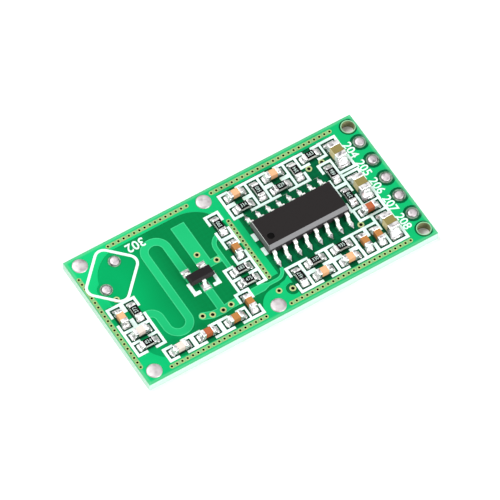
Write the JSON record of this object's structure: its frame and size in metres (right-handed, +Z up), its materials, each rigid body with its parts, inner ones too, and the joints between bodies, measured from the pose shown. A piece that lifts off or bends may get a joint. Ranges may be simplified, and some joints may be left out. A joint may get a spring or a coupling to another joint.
{
  "type": "microwave radar sensor module",
  "caption": "Small green circuit board with a folded antenna trace, a gull-wing lead package, rows of chip parts, stitching vias and a row of soldered pin holes.",
  "frame": {"origin": "under the middle of the board, on the flat underside that it lies on", "axes": "+X along the board from the antenna end to the pin end, +Y across it to the left, +Z up through the parts"},
  "size_m": [0.0352, 0.017, 0.0027],
  "materials": {
    "laminate": "glass fibre laminate under a green solder mask",
    "masked_ground": "copper under a green solder mask",
    "masked_trace": "copper under a green solder mask",
    "print": "white legend ink",
    "tinned_pad": "tinned copper",
    "solder": "bright solder",
    "moulding": "black moulding compound",
    "lead_metal": "tinned lead frame",
    "resistor": "black coat on white ceramic",
    "capacitor_pale": "pale layered ceramic",
    "capacitor_brown": "brown layered ceramic",
    "supply_capacitor": "olive layered ceramic"
  },
  "bodies": {
    "root": {"antenna_trace": "masked_trace", "bias_trace": "masked_trace", "capacitor_1": "capacitor_pale", "capacitor_10": "capacitor_brown", "capacitor_11": "capacitor_pale", "capacitor_12": "capacitor_pale", "capacitor_13": "capacitor_brown", "capacitor_14": "capacitor_brown", "capacitor_2": "capacitor_pale", "capacitor_3": "capacitor_pale", "capacitor_4": "capacitor_brown", "capacitor_5": "capacitor_brown", "capacitor_6": "capacitor_brown", "capacitor_7": "capacitor_brown", "capacitor_8": "capacitor_pale", "capacitor_9": "capacitor_pale", "circuit_board": "laminate", "component_pads": "tinned_pad", "emitter_strip": "masked_trace", "ground_copper": "masked_ground", "ground_solder_1": "solder", "ground_solder_2": "solder", "ground_solder_3": "solder", "ground_solder_4": "solder", "header_solder_1": "solder", "header_solder_2": "solder", "header_solder_3": "solder", "header_solder_4": "solder", "header_solder_5": "solder", "legend_frames": "print", "output_trace": "masked_trace", "package_body": "moulding", "package_leads": "lead_metal", "plated_rings": "tinned_pad", "resistor_1": "resistor", "resistor_10": "resistor", "resistor_11": "resistor", "resistor_12": "resistor", "resistor_13": "resistor", "resistor_14": "resistor", "resistor_15": "resistor", "resistor_2": "resistor", "resistor_3": "resistor", "resistor_4": "resistor", "resistor_5": "resistor", "resistor_6": "resistor", "resistor_7": "resistor", "resistor_8": "resistor", "resistor_9": "resistor", "resonator_stub": "masked_trace", "sensor_outline": "print", "sensor_solder_1": "solder", "sensor_solder_2": "solder", "solder_fillets": "solder", "supply_capacitor_1": "supply_capacitor", "supply_capacitor_2": "supply_capacitor", "supply_capacitor_3": "supply_capacitor", "transistor_body": "moulding", "transistor_leads": "lead_metal"}
  },
  "joints": []
}
